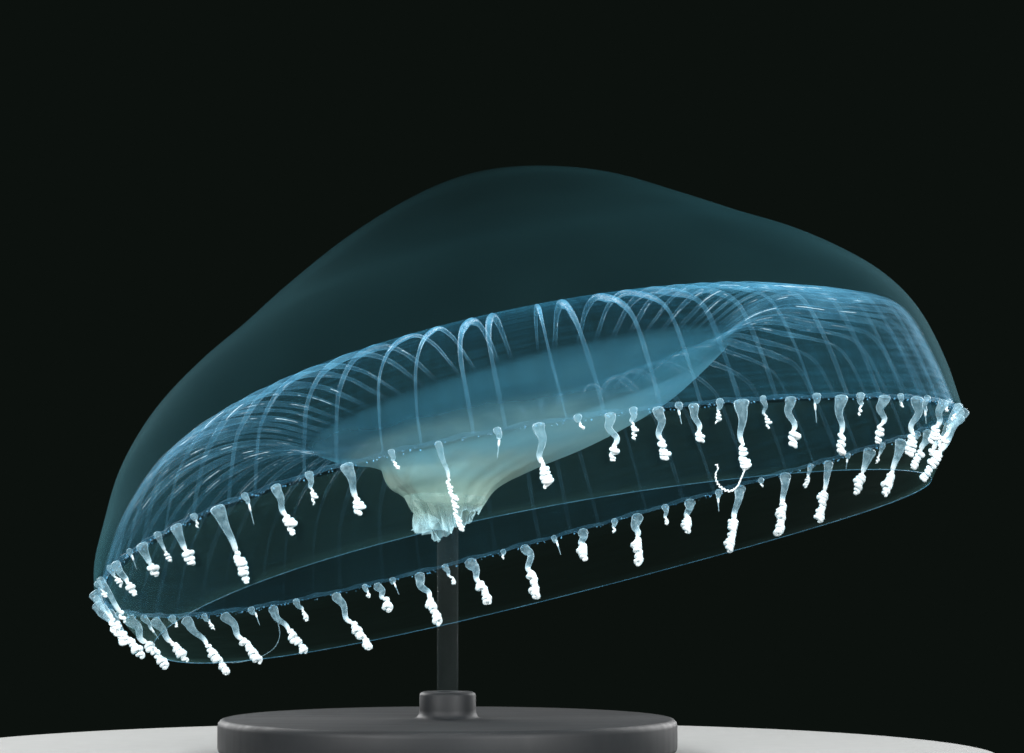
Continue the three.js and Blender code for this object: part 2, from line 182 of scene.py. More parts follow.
def finish_sheet(tree, base, milk, roughness=0.3, normal=None, thinnest=0.09, gloss=0.1):
    """A thin milky sheet: it hides what is behind it by its milkiness, and more where it is seen at a
    slant, because the way through it is longer there."""
    finish = {"Base Color": base, "Roughness": roughness, "IOR": 1.34, "Specular IOR Level": gloss}
    if normal is not None:
        finish["Normal"] = normal
    lit = add(tree, "ShaderNodeBsdfPrincipled", finish)
    facing = add(tree, "ShaderNodeLayerWeight", {"Blend": 0.5}).outputs["Facing"]
    straight = add(tree, "ShaderNodeMath", {0: 1.0, 1: facing}, operation="SUBTRACT")
    straight = add(tree, "ShaderNodeMath", {0: straight, 1: thinnest}, operation="MAXIMUM")
    way = add(tree, "ShaderNodeMath", {0: 1.0, 1: straight}, operation="DIVIDE")
    clear = add(tree, "ShaderNodeMath", {0: 1.0, 1: milk}, operation="SUBTRACT")
    clear = add(tree, "ShaderNodeMath", {0: clear, 1: way}, operation="POWER")
    through = add(tree, "ShaderNodeBsdfTransparent")
    add(tree, "ShaderNodeOutputMaterial",
        {"Surface": add(tree, "ShaderNodeMixShader", {0: clear, 1: lit, 2: through})})


# Outer skin: wet clear jelly, smooth as it grew. The eye sees only a faint teal haze, in clouds about
# 22 mm across, that thickens where the skin is seen at a slant.
outer_jelly, tree = new_material("clear jelly, outer skin")
place = add(tree, "ShaderNodeTexCoord").outputs["Object"]
clouds = add(tree, "ShaderNodeTexNoise", {"Vector": place, "Scale": 1 / (22 * MM), "Detail": 2.0})
base = add(tree, "ShaderNodeMix", {0: clouds, 6: colour("#377280"), 7: colour("#447a82")},
           data_type="RGBA").outputs[2]
cloudy = add(tree, "ShaderNodeMapRange", {0: clouds, 1: 0.3, 2: 0.7, 3: 0.8, 4: 1.2})
milk = add(tree, "ShaderNodeAttribute", attribute_name="milk").outputs["Fac"]
milk = add(tree, "ShaderNodeMath", {0: milk, 1: cloudy}, operation="MULTIPLY")
finish_sheet(tree, base, milk, roughness=0.6, thinnest=0.14, gloss=0.015)

# Inner skin: jelly lined with a film of muscle. It gives the eye a milky blue haze, with streaks
# 1.4 mm wide down the wall, clouds 12 mm across, and rings of muscle 0.6 mm apart, which is coarser
# than the real fibres of about 0.01 mm, as those are too fine to show.
inner_jelly, tree = new_material("milky blue jelly, inner skin")
place = add(tree, "ShaderNodeTexCoord").outputs["Object"]
own = add(tree, "ShaderNodeUVMap", uv_map="UVMap")
down_wall = add(tree, "ShaderNodeMapping", {"Vector": own, "Scale": (ROUND_BELL / 1.4, DOWN_BELL / 50, 1.0)})
streaks = add(tree, "ShaderNodeTexNoise", {"Vector": down_wall, "Scale": 1.0, "Detail": 1.0})
round_bell = add(tree, "ShaderNodeMapping", {"Vector": own, "Scale": (ROUND_BELL / 10, DOWN_BELL / 0.6, 1.0)})
muscle = add(tree, "ShaderNodeTexNoise", {"Vector": round_bell, "Scale": 1.0, "Detail": 0.0})
clouds = add(tree, "ShaderNodeTexNoise", {"Vector": place, "Scale": 1 / (12 * MM), "Detail": 2.0})
base = add(tree, "ShaderNodeMix", {0: clouds, 6: colour("#237aa9"), 7: colour("#4396b4")},
           data_type="RGBA").outputs[2]
streaky = add(tree, "ShaderNodeMapRange", {0: streaks, 1: 0.35, 2: 0.7, 3: 0.7, 4: 1.5})
banded = add(tree, "ShaderNodeMapRange", {0: muscle, 1: 0.35, 2: 0.7, 3: 0.6, 4: 1.6})
cloudy = add(tree, "ShaderNodeMapRange", {0: clouds, 1: 0.3, 2: 0.7, 3: 0.7, 4: 1.3})
grain = add(tree, "ShaderNodeMath", {0: streaky, 1: banded}, operation="MULTIPLY")
grain = add(tree, "ShaderNodeMath", {0: grain, 1: cloudy}, operation="MULTIPLY")
milk = add(tree, "ShaderNodeAttribute", attribute_name="milk").outputs["Fac"]
milk = add(tree, "ShaderNodeMath", {0: milk, 1: grain}, operation="MULTIPLY")
finish_sheet(tree, base, milk, roughness=0.5, thinnest=0.12, gloss=0.04)

outer_profile = smooth_through(OUTER_SKIN, SKIN_ROWS)
inner_profile = smooth_through(INNER_SKIN, SKIN_ROWS)
around = np.arange(BELL_COLUMNS) * 2 * math.pi / BELL_COLUMNS
outer_profile[0, 0] = inner_profile[0, 0] = POLE_RADIUS
outer_points = skin_points(outer_profile, OUTER_LEAN, around)
inner_points = skin_points(inner_profile, INNER_LEAN, around)[::-1]
edge_turn = np.linspace(0, math.pi, EDGE_ROWS + 2)[1:-1, None, None]
edge_middle, edge_half = (outer_points[-1] + inner_points[0]) / 2, (outer_points[-1] - inner_points[0]) / 2
edge_points = edge_middle + edge_half * np.cos(edge_turn) + np.array([0, 0, -EDGE_DROP]) * np.sin(edge_turn)
bell_points = np.concatenate([outer_points, edge_points, inner_points])

inner_radius = inner_profile[::-1, 0]
# The outer skin is clearest over the middle of the crown.
crown_clear = np.interp(outer_profile[:, 0], [8, 30], [0.3, 1.1])
outer_milk = OUTER_MILK * crown_clear + RIM_MILK * (outer_profile[:, 0] / MARGIN_RADIUS) ** 6
inner_milk = np.interp(inner_radius, *zip(*INNER_MILK))
# The inner skin is milkier towards the high end, most of all over its crest, and clearer at the back.
toward, back = np.cos(around), np.maximum(np.sin(around), 0)
round_milk = (1 + 0.42 * toward - 0.65 * back**3 + 0.5 * back * np.maximum(-toward, 0)
              + 0.12 * np.maximum(-np.sin(around), 0))
crest = np.interp(inner_radius, *zip(*CREST_MILK))
bell_milk = np.concatenate([np.outer(outer_milk, np.ones(BELL_COLUMNS)),
                            np.full((len(edge_points), BELL_COLUMNS), EDGE_MILK),
                            np.outer(inner_milk, round_milk) + np.outer(crest, np.maximum(toward, 0))])
bell = mesh_object("bell", in_row_frame(bell_points), ring_faces(len(bell_points), BELL_COLUMNS, True, True),
                   [outer_jelly, inner_jelly], {"milk": bell_milk})
add_uv(bell, len(bell_points), BELL_COLUMNS)
outer_faces = 1 + (len(outer_points) + 1) * BELL_COLUMNS
skin_of_face = [int(i >= outer_faces) for i in range(len(bell.data.polygons))]
bell.data.polygons.foreach_set("material_index", skin_of_face)
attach(bell, "root")
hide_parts("bell_crown", *[f"bell_quadrant_{q}" for q in range(1, 5)])

# ---- Radial canals -----------------------------------------------------------------------------
# Flat clear tubes that carry food from the stomach's edge over the crest of the cavity and down the
# wall to the margin. Their sides show as pale lines, and here and there a thin white tube along one side is a
# painted glint.
CANALS = 64
CANAL_START, CANAL_END = 17.0, 49.25
CANAL_STEPS, CANAL_SIDES = 60, 12
# How unevenly they stand, as a share of their spacing, and how far they wander, in radians.
CANAL_JITTER, CANAL_WANDER = 0.12, 0.006
# Width and sides of the thin white tubes that are painted glints along the canals.
GLINT_WIDTH, GLINT_SIDES = 0.045, 5
# Rows of the fine copies of the inner skin's profile that heights and lengths are read from.
HEIGHT_ROWS, LENGTH_ROWS = 240, 400
FIRST_ANGLE = math.radians(26.3)
# Half widths, and how milky the canals and the painted glints along their sides are, at growing radii.
CANAL_WIDTHS = [(17, 0.16), (25, 0.2), (30, 0.26), (34, 0.36), (38, 0.37), (43, 0.27), (46, 0.21),
                (49.3, 0.17)]
CANAL_MILK = [(17, 0.0), (23, 0.0), (27, 0.05), (32, 0.055), (36, 0.08), (40, 0.075), (44, 0.04),
              (49.3, 0.018)]
GLINT_MILK = [(17, 0.0), (25, 0.0), (29, 0.7), (33, 0.7), (38, 0.6), (43, 0.3), (45, 0.0), (49.3, 0.0)]

# Sweeps a round section along drawn lines. Each point of a line has its own thickness, in the unit given.
tube_tree = bpy.data.node_groups.new("tubes along lines", "GeometryNodeTree")
for name, kind in [("Lines", "Geometry"), ("Sides", "Int"), ("Unit", "Float"), ("Finish", "Material")]:
    tube_tree.interface.new_socket(name, in_out="INPUT", socket_type="NodeSocket" + kind)
tube_tree.interface.new_socket("Tubes", in_out="OUTPUT", socket_type="NodeSocketGeometry")
given = add(tube_tree, "NodeGroupInput").outputs
thickness = add(tube_tree, "GeometryNodeInputNamedAttribute", {"Name": "thickness"}, data_type="FLOAT")
thickness = add(tube_tree, "ShaderNodeMath", {0: thickness, 1: given["Unit"]}, operation="MULTIPLY")
lines = add(tube_tree, "GeometryNodeMeshToCurve", {"Mesh": given["Lines"]})
section = add(tube_tree, "GeometryNodeCurvePrimitiveCircle", {"Resolution": given["Sides"], "Radius": 1.0})
swept = add(tube_tree, "GeometryNodeCurveToMesh",
            {"Curve": lines, "Profile Curve": section, "Scale": thickness, "Fill Caps": True})
smooth = add(tube_tree, "GeometryNodeSetShadeSmooth", {"Geometry": swept})
real = add(tube_tree, "GeometryNodeRealizeInstances", {"Geometry": smooth})
dressed = add(tube_tree, "GeometryNodeSetMaterial", {"Geometry": real, "Material": given["Finish"]})
add(tube_tree, "NodeGroupOutput", {"Tubes": dressed})


def tubes(name, lines, material, sides=8):
    """Tubes along lines of points in the bell's frame. Each line has its points, its half widths in mm
    and its other values for the finish, such as how far along it each point is."""
    mesh = bpy.data.meshes.new(name + " lines")
    counts = [len(line["points"]) for line in lines]
    starts = np.cumsum([0] + counts)
    edges = [(s + i, s + i + 1) for s, n in zip(starts, counts) for i in range(n - 1)]
    mesh.from_pydata(in_row_frame(np.concatenate([line["points"] for line in lines])).tolist(), edges, [])
    for key in [k for k in lines[0] if k != "points"]:
        values = np.concatenate([np.broadcast_to(line[key], n) for line, n in zip(lines, counts)])
        mesh.attributes.new(key, "FLOAT", "POINT").data.foreach_set("value", values.astype(np.float32))
    drawn = bpy.data.objects.new(name + " lines", mesh)
    bpy.context.scene.collection.objects.link(drawn)
    modifier = drawn.modifiers.new("tubes", "NODES")
    modifier.node_group = tube_tree
    sockets = {item.name: item.identifier for item in tube_tree.interface.items_tree}
    modifier[sockets["Sides"]], modifier[sockets["Unit"]], modifier[sockets["Finish"]] = sides, MM, material
    graph = bpy.context.evaluated_depsgraph_get()
    swept = bpy.data.meshes.new_from_object(drawn.evaluated_get(graph), depsgraph=graph)
    bpy.data.objects.remove(drawn)
    made = bpy.data.objects.new(name, swept)
    bpy.context.scene.collection.objects.link(made)
    return made


def inner_skin_at(radius, angle, depth=0.0):
    """Points on the inner skin at radii and angles, moved straight down into the cavity."""
    fine = smooth_through(INNER_SKIN, HEIGHT_ROWS)
    high, low = (np.interp(radius, fine[:, 0], fine[:, k]) for k in (1, 2))
    height = low + (high - low) * (1 + np.cos(angle)) / 2 + saddle(radius, angle)
    lean = INNER_LEAN * (1 - (radius / INNER_SKIN[-1][0]) ** 2)
    return np.stack([radius * np.cos(angle) + lean, radius * np.sin(angle), height - depth], 1)


# Canal wall: a thin wet film round clear fluid. The eye sees it clear in the middle and pale blue at
# its sides, with milky patches about 2 mm long.
canal_skin, tree = new_material("pale milky canal")
place = add(tree, "ShaderNodeTexCoord").outputs["Object"]
grains = add(tree, "ShaderNodeTexNoise", {"Vector": place, "Scale": 1 / (2 * MM), "Detail": 1.0})
base = add(tree, "ShaderNodeMix", {0: grains, 6: colour("#4aa6da"), 7: colour("#84cdea")},
           data_type="RGBA").outputs[2]
grainy = add(tree, "ShaderNodeMapRange", {0: grains, 1: 0.35, 2: 0.7, 3: 0.75, 4: 1.35})
milk = add(tree, "ShaderNodeAttribute", attribute_name="milk").outputs["Fac"]
milk = add(tree, "ShaderNodeMath", {0: milk, 1: grainy}, operation="MULTIPLY")
finish_sheet(tree, base, milk, roughness=0.3, thinnest=0.18, gloss=0.3)

# Painted glint along a canal: white and blue-white colour in broken dashes 2 to 3 mm long, with painted
# sparkles of 0.4 mm in them, stands in for the highlights on a wet canal.
canal_glint, tree = new_material("painted glint along a canal")
place = add(tree, "ShaderNodeTexCoord").outputs["Object"]
broken = add(tree, "ShaderNodeTexNoise", {"Vector": place, "Scale": 1 / (2.6 * MM), "Detail": 2.0})
fine = add(tree, "ShaderNodeTexNoise", {"Vector": place, "Scale": 1 / (0.4 * MM), "Detail": 1.0})
base = add(tree, "ShaderNodeMix", {0: fine, 6: colour("#bfe6f4"), 7: colour("#ffffff")},
           data_type="RGBA").outputs[2]
dashes = add(tree, "ShaderNodeMapRange", {0: broken, 1: 0.54, 2: 0.66, 3: 0.0, 4: 1.0})
milk = add(tree, "ShaderNodeAttribute", attribute_name="milk").outputs["Fac"]
milk = add(tree, "ShaderNodeMath", {0: milk, 1: dashes}, operation="MULTIPLY")
finish_sheet(tree, base, milk, roughness=0.15, thinnest=0.3)

chance = np.random.default_rng(7)
fine = smooth_through(INNER_SKIN, LENGTH_ROWS)
reach = np.r_[0, np.cumsum(np.linalg.norm(np.diff(fine[:, :2], axis=0), axis=1))]
first, last = np.interp([CANAL_START, CANAL_END], fine[:, 0], reach)
t = np.linspace(0, 1, CANAL_STEPS)
canal_radius = np.interp(first + (last - first) * t, reach, fine[:, 0])
canal_lines, glint_lines = [], []
for k in range(CANALS):
    angle = FIRST_ANGLE + (k + 0.5 + chance.normal(0, CANAL_JITTER)) * 2 * math.pi / CANALS
    angle = angle + (CANAL_WANDER * np.sin(t * chance.uniform(3, 8) + chance.uniform(0, 6))
                     * np.sin(math.pi * t))
    size = chance.uniform(0.6, 1.25)
    swelling = 1 + 0.1 * np.sin(t * chance.uniform(20, 45) + k)
    width = np.interp(canal_radius, *zip(*CANAL_WIDTHS)) * size * swelling
    # The canals of the near side are fuller than those at the ends and on the far side.
    across = -math.sin(float(angle[0]))
    fullness = 0.7 + (0.75 if across > 0 else 0.4) * across + 0.25 * math.cos(float(angle[0]))
    strength = chance.uniform(0.6, 1.1) * fullness
    milk = np.interp(canal_radius, *zip(*CANAL_MILK)) * strength
    canal_lines.append({"points": inner_skin_at(canal_radius, angle, 0.9 * width),
                        "thickness": width, "milk": milk})
    # Each canal gets a painted glint: a thin white tube along one side that stands in for a highlight, at one
    # of four strengths, and fainter on the far side.
    side = (1 if k % 2 else -1) * 0.8 * width / canal_radius
    painted_glint_strength = chance.choice([0.1, 0.3, 0.9, 1.3])
    glint = np.interp(canal_radius, *zip(*GLINT_MILK)) * painted_glint_strength * min(fullness, 1)
    glint = glint * (1 - 0.7 * max(-across, 0))
    glint_lines.append({"points": inner_skin_at(canal_radius, angle + side, width),
                        "thickness": GLINT_WIDTH, "milk": glint})
canals = tubes("radial_canals", canal_lines, canal_skin, CANAL_SIDES)
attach(canals, "root")
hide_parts(*[f"canals_quadrant_{q}" for q in range(1, 5)])
glints = tubes("canal_glints", glint_lines, canal_glint, GLINT_SIDES)
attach(glints, "root")

# ---- Ring canal --------------------------------------------------------------------------------
# A clear tube just inside the margin that joins the canals and the tentacles, with small milky
# grains along its underside.
RING_RADIUS, RING_DROP, RING_WIDTH = 49.3, 0.2, 0.23
RING_MILK = 0.028
RING_STEPS = 720
GRAINS, GRAIN_SIDES = 520, 6

angle = np.linspace(0, 2 * math.pi, RING_STEPS + 1)
# It swells 44 times on its way round, as often as there are large tentacles.
wobble = 0.12 * np.sin(44 * angle) + 0.06 * np.sin(101 * angle + 1)
ring_points = np.stack([RING_RADIUS * np.cos(angle), RING_RADIUS * np.sin(angle),
                        saddle(RING_RADIUS, angle) - RING_DROP + 0.5 * wobble], 1)
ring_line = {"points": ring_points, "thickness": RING_WIDTH + 0.25 * wobble, "milk": RING_MILK}
ring_canal = tubes("ring_canal", [ring_line], canal_skin, CANAL_SIDES)
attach(ring_canal, "root")

grain_lines = []
for k in range(GRAINS):
    at = chance.uniform(0, 2 * math.pi)
    size = chance.uniform(0.04, 0.1)
    down = chance.uniform(0.3, 0.7)
    radius = RING_RADIUS + chance.uniform(-0.25, 0.3)
    middle = np.array([radius * math.cos(at), radius * math.sin(at), float(saddle(radius, at)) - down])
    t = np.linspace(-1, 1, 5)
    points = middle + np.outer(t, [0, 0, size])
    grain_lines.append({"points": points, "thickness": size * np.sqrt(np.maximum(1 - t**2, 0.02)),
                        "milk": chance.uniform(0.1, 0.35)})
grains_piece = tubes("margin_grains", grain_lines, canal_skin, GRAIN_SIDES)
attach(grains_piece, "root")

# ---- Velum -------------------------------------------------------------------------------------
# A very thin clear skin that narrows the bell's opening. Only its free edge, a fine thread of
# muscle, shows well.
# Radius and height of its outer and its free edge, how far the free edge hangs to the front, and how
# much of the margin's saddle it keeps.
VELUM_OUTER = (48.6, -0.6)
VELUM_INNER = (44.5, -8.1)
VELUM_FORWARD = 3.0
VELUM_SADDLE = 0.65
VELUM_ACROSS, VELUM_BILLOW = 9.0, 0.5
VELUM_ROWS = 18
VELUM_EDGE_WIDTH, VELUM_EDGE_MILK, VELUM_EDGE_SIDES = 0.045, 0.07, 6

# Velum skin: two cell layers with muscle between. The eye sees a faint greenish film with rings about
# 0.4 mm apart, drawn coarser than the real fibres, which are too fine to show.
velum_skin, tree = new_material("thin clear velum")
own = add(tree, "ShaderNodeUVMap", uv_map="UVMap")
round_edge = add(tree, "ShaderNodeMapping",
                 {"Vector": own, "Scale": (ROUND_BELL / 5, VELUM_ACROSS / 0.4, 1.0)})
rings = add(tree, "ShaderNodeTexNoise", {"Vector": round_edge, "Scale": 1.0, "Detail": 3.0})
base = add(tree, "ShaderNodeMix", {0: rings, 6: colour("#478380"), 7: colour("#659491")},
           data_type="RGBA").outputs[2]
banded = add(tree, "ShaderNodeMapRange", {0: rings, 1: 0.3, 2: 0.7, 3: 0.8, 4: 1.2})
milk = add(tree, "ShaderNodeAttribute", attribute_name="milk").outputs["Fac"]
milk = add(tree, "ShaderNodeMath", {0: milk, 1: banded}, operation="MULTIPLY")
finish_sheet(tree, base, milk, roughness=0.3, thinnest=0.12, gloss=0.05)

share = np.linspace(0, 1, VELUM_ROWS)[:, None]
angles = around[None, :]
billow = VELUM_BILLOW * np.sin(math.pi * share)
radius = VELUM_OUTER[0] + (VELUM_INNER[0] - VELUM_OUTER[0]) * share + billow
height = (VELUM_OUTER[1] + (VELUM_INNER[1] - VELUM_OUTER[1]) * share
          + saddle(radius, angles) * (1 + (VELUM_SADDLE - 1) * share))
forward = VELUM_FORWARD * share**1.5
velum_points = np.stack(np.broadcast_arrays(
    radius * np.cos(angles), radius * np.sin(angles) - forward, height), -1)
# It is milkier at the front and on the low side.
velum_milk = np.interp(share, [0, 0.25, 0.9, 1], [0.016, 0.008, 0.006, 0.02]) * (
    1.3 - 0.9 * np.sin(angles) + 1.6 * np.maximum(-np.cos(angles - 0.6), 0) ** 2)
velum = mesh_object("velum_skin", in_row_frame(velum_points), ring_faces(VELUM_ROWS, BELL_COLUMNS),
                    [velum_skin], {"milk": velum_milk})
add_uv(velum, VELUM_ROWS, BELL_COLUMNS)
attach(velum, "root")
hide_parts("velum")

edge = np.concatenate([velum_points[-1], velum_points[-1][:1]])
edge_line = {"points": edge, "thickness": VELUM_EDGE_WIDTH, "milk": VELUM_EDGE_MILK}
velum_edge = tubes("velum_edge", [edge_line], canal_skin, VELUM_EDGE_SIDES)
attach(velum_edge, "root")

# ---- Stomach and mouth tube --------------------------------------------------------------------
# A wide soft bag hangs from the bell's roof and narrows to a short mouth tube. It is milky: blue and
# half clear at its upper edge, paler and creamier towards the mouth.
# Each row is a tilted ring: its low-side x and z, and its high-side x and z, in mm.
STOMACH = [(-23.2, 10.7, 27.0, 12.9), (-20.9, 9.2, 24.0, 10.9), (-18.3, 8.3, 18.8, 7.9),
           (-16.5, 7.4, 13.5, 6.0), (-15.6, 6.6, 8.0, 4.5), (-15.3, 5.4, 3.6, 3.7), (-15.0, 4.6, 0.4, 3.0)]
MOUTH_TUBE = [(-14.6, 4.0, -1.9, 2.4), (-14.2, 3.7, -3.1, 1.9), (-13.9, 3.4, -4.0, 1.3),
              (-13.6, 3.1, -4.5, 0.8)]
STOMACH_ROWS, STOMACH_COLUMNS = 70, 144
FOLDS_FROM = 0.6
# How milky the wall is at shares of the way from the roof to the lips.
BAG_MILK = [(0.0, 0.02), (0.03, 0.16), (0.08, 0.28), (0.25, 0.29), (0.4, 0.4), (0.5, 0.5), (0.65, 0.55),
            (1, 0.5)]


def tilted_rings(rows, count, columns, frill):
    """A grid of points on smooth rings through the given tilted ones, with a frill at each ring."""
    fine = smooth_through(rows, count)
    angles = np.arange(columns) * 2 * math.pi / columns
    reach = 1 + frill(np.linspace(0, 1, count)[:, None], angles)
    middle_x, half = (fine[:, 0] + fine[:, 2]) / 2, (fine[:, 2] - fine[:, 0]) / 2
    middle_z, tilt = (fine[:, 1] + fine[:, 3]) / 2, (fine[:, 3] - fine[:, 1]) / 2
    x = middle_x[:, None] + half[:, None] * reach * np.cos(angles)
    y = half[:, None] * reach * np.sin(angles)
    z = middle_z[:, None] + tilt[:, None] * np.cos(angles)
    return np.stack([x, y, z], -1)


# Stomach wall: soft tissue, thicker towards the mouth. It is blue and half clear at the roof and turns
# to cream, with clouds 5 mm across and pores of 0.8 mm that make its sheen uneven.
stomach_skin, tree = new_material("soft milky stomach")
place = add(tree, "ShaderNodeTexCoord").outputs["Object"]
clouds = add(tree, "ShaderNodeTexNoise", {"Vector": place, "Scale": 1 / (5 * MM), "Detail": 4.0})
pores = add(tree, "ShaderNodeTexNoise", {"Vector": place, "Scale": 1 / (0.8 * MM), "Detail": 2.0})
deep = add(tree, "ShaderNodeMix", {0: clouds, 6: colour("#3a84a4"), 7: colour("#559fb8")},
           data_type="RGBA").outputs[2]
pale = add(tree, "ShaderNodeMix", {0: clouds, 6: colour("#6fb0c0"), 7: colour("#93c8d0")},
           data_type="RGBA").outputs[2]
cream = add(tree, "ShaderNodeMix", {0: clouds, 6: colour("#6fa09f"), 7: colour("#9cb0a0")},
            data_type="RGBA").outputs[2]
along = add(tree, "ShaderNodeAttribute", attribute_name="along").outputs["Fac"]
below_roof = add(tree, "ShaderNodeMapRange", {0: along, 1: 0.2, 2: 0.42}, interpolation_type="SMOOTHSTEP")
to_mouth = add(tree, "ShaderNodeMapRange", {0: along, 1: 0.58, 2: 0.85}, interpolation_type="SMOOTHSTEP")
base = add(tree, "ShaderNodeMix", {0: below_roof, 6: deep, 7: pale}, data_type="RGBA").outputs[2]
base = add(tree, "ShaderNodeMix", {0: to_mouth, 6: base, 7: cream}, data_type="RGBA").outputs[2]
cloudy = add(tree, "ShaderNodeMapRange", {0: clouds, 1: 0.3, 2: 0.7, 3: 0.85, 4: 1.15})
milk = add(tree, "ShaderNodeAttribute", attribute_name="milk").outputs["Fac"]
milk = add(tree, "ShaderNodeMath", {0: milk, 1: cloudy}, operation="MULTIPLY")
soft = add(tree, "ShaderNodeBump", {"Height": pores, "Strength": 0.15, "Distance": 0.0001})
finish_sheet(tree, base, milk, roughness=0.45, normal=soft, thinnest=0.25)


def folds(down, angle):
    """Shallow folds that deepen down the mouth tube."""
    waves = 0.12 * np.cos(7 * angle + 3 * down) + 0.05 * np.cos(17 * angle)
    return np.maximum(down - FOLDS_FROM, 0) * waves


# The low side of the bag is paler and milkier than the high side at the same depth.
around_bag = np.arange(STOMACH_COLUMNS) * 2 * math.pi / STOMACH_COLUMNS
row_along = np.linspace(0, 1, STOMACH_ROWS)[:, None]
bag_along = row_along - 0.1 * np.cos(around_bag) * np.sin(math.pi * row_along)
stomach_points = tilted_rings(STOMACH + MOUTH_TUBE, STOMACH_ROWS, STOMACH_COLUMNS, folds)
bag_milk = np.interp(bag_along, *zip(*BAG_MILK))
stomach = mesh_object("stomach_and_mouth_tube", in_row_frame(stomach_points),
                      ring_faces(STOMACH_ROWS, STOMACH_COLUMNS), [stomach_skin],
                      {"along": bag_along, "milk": bag_milk})
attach(stomach, "root")
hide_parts("stomach", "manubrium")

# ---- Lips --------------------------------------------------------------------------------------
# The mouth ends in a thin ruffled hem, cream inside, with a wavy milky edge.
LIPS = [(-13.6, 3.1, -4.5, 0.8), (-13.3, 2.3, -4.8, 0.4), (-12.9, 1.3, -5.1, 0.1), (-12.5, 0.3, -5.5, -0.1),
        (-12.2, -0.6, -5.9, -0.3)]
LIP_ROWS, LIP_COLUMNS = 26, 360
# How milky the hem is at shares of the way to its free edge.
LIP_MILK = [(0, 0.5), (0.2, 0.34), (0.8, 0.3), (1, 0.5)]

# Lips: the same tissue drawn out thin. Cream with a cloud every 2 mm, and pale blue at the free edge.
lip_skin, tree = new_material("ruffled cream lips")
place = add(tree, "ShaderNodeTexCoord").outputs["Object"]
clouds = add(tree, "ShaderNodeTexNoise", {"Vector": place, "Scale": 1 / (2 * MM), "Detail": 3.0})
cream = add(tree, "ShaderNodeMix", {0: clouds, 6: colour("#73a3a3"), 7: colour("#9eb4a5")},
            data_type="RGBA").outputs[2]
along = add(tree, "ShaderNodeAttribute", attribute_name="along").outputs["Fac"]
to_edge = add(tree, "ShaderNodeMapRange", {0: along, 1: 0.45, 2: 1.0}, interpolation_type="SMOOTHSTEP")
base = add(tree, "ShaderNodeMix", {0: to_edge, 6: cream, 7: colour("#b4dde6")}, data_type="RGBA").outputs[2]
cloudy = add(tree, "ShaderNodeMapRange", {0: clouds, 1: 0.3, 2: 0.7, 3: 0.7, 4: 1.2})
milk = add(tree, "ShaderNodeAttribute", attribute_name="milk").outputs["Fac"]
milk = add(tree, "ShaderNodeMath", {0: milk, 1: cloudy}, operation="MULTIPLY")
soft = add(tree, "ShaderNodeBump", {"Height": clouds, "Strength": 0.12, "Distance": 0.0001})
finish_sheet(tree, base, milk, roughness=0.45, normal=soft, thinnest=0.25)


def ruffle(down, angle):
    """The tube's folds turn into a ruffle of waves in waves, which is larger on the low side."""
    waves = (0.15 * np.cos(5 * angle + 1) + 0.12 * down * np.cos(13 * angle + 5 * down)
             + 0.1 * down**2 * np.cos(29 * angle - 4 * down) + 0.05 * down**2 * np.cos(61 * angle))
    return folds(1, angle) * (1 - down) + down * (1 - 0.75 * np.cos(angle)) * waves


lip_points = tilted_rings(LIPS, LIP_ROWS, LIP_COLUMNS, ruffle)
lip_along = np.linspace(0, 1, LIP_ROWS)[:, None]
lip_angles = np.arange(LIP_COLUMNS) * 2 * math.pi / LIP_COLUMNS
# The free edge rises and falls, and hangs lowest at the front and the back of the low side.
edge_wave = (0.35 * np.sin(5 * lip_angles) + 0.2 * np.sin(13 * lip_angles + 1) + 0.1 * np.sin(29 * lip_angles)
             - 1.3 * np.sin(lip_angles) ** 2 * (1 - np.cos(lip_angles)))
lip_points[:, :, 2] += lip_along**2 * edge_wave
lip_milk = np.interp(lip_along, *zip(*LIP_MILK))
lips = mesh_object("ruffled_lips", in_row_frame(lip_points), ring_faces(LIP_ROWS, LIP_COLUMNS), [lip_skin],
                   {"along": np.broadcast_to(lip_along, (LIP_ROWS, LIP_COLUMNS)),
                    "milk": np.broadcast_to(lip_milk, (LIP_ROWS, LIP_COLUMNS))})
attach(lips, "root")
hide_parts("mouth_lips")

# ---- Large tentacles ---------------------------------------------------------------------------
# Each hangs from a clear cone-shaped bulb on the margin. Its stalk bends once or twice, and its end,
# packed with stinging cells, is wound up into a tight brilliant white corkscrew.
TENTACLES, TENTACLE_SIDES = 44, 8
# Degrees inwards, how many more at the back, and how many more at the high end.
TENTACLE_LEAN = (25, 11, 22)
# Radius of the roots, and how far below the margin they are.
TENTACLE_ROOT = (50.1, 0.65)
# Where the tentacles crowd: place, width and shift, in degrees.
CROWDING = [(269, 19, 10), (122, 8, -3.5)]
TENTACLE_LENGTHS = [7.6, 5.8, 8.4, 8.8, 9.6, 4.8, 7.6, 4.7, 8.6, 7.3, 8.6,
                    4.4, 9.4, 7.7, 8, 8.8, 6.4, 7.4, 6.4, 5.4, 6.2, 5,
                    4, 3.6, 4.4, 8.4, 5.2, 5.2, 9.2, 6.4, 4.6, 5.2, 3.8,
                    7, 5, 6, 4.8, 6.2, 4.6, 4.6, 9, 4.6, 4.4, 5]
COIL_RADIUS, COIL_WIRE, COIL_PITCH = 0.33, 0.23, 0.47
# Tentacles that differ from the rest, counted from 0.
LONG_CHAIN, HOOKED_THREAD = 28, 33
HARDLY_COILED = (21, 39, 41, 42)
THREAD_STEPS = 60
HOOK = [(0, 0, 0), (-0.35, 0, -0.8), (-0.8, 0, -1.7), (-1.5, 0, -2.1), (-2.3, 0, -1.8), (-2.8, 0, -1.2),
        (-2.95, 0, -0.3), (-2.7, 0, 0.3), (-2.95, 0, 0.7)]


def tentacle_angle(place):
    """The angle of a place on the margin: whole numbers are large tentacles, and halves lie between."""
    even = math.degrees(FIRST_ANGLE) + place * 360 / TENTACLES
    shifts = [shift * math.exp(-(((even - at) / wide) ** 2)) for at, wide, shift in CROWDING]
    return math.radians(even + sum(shifts))


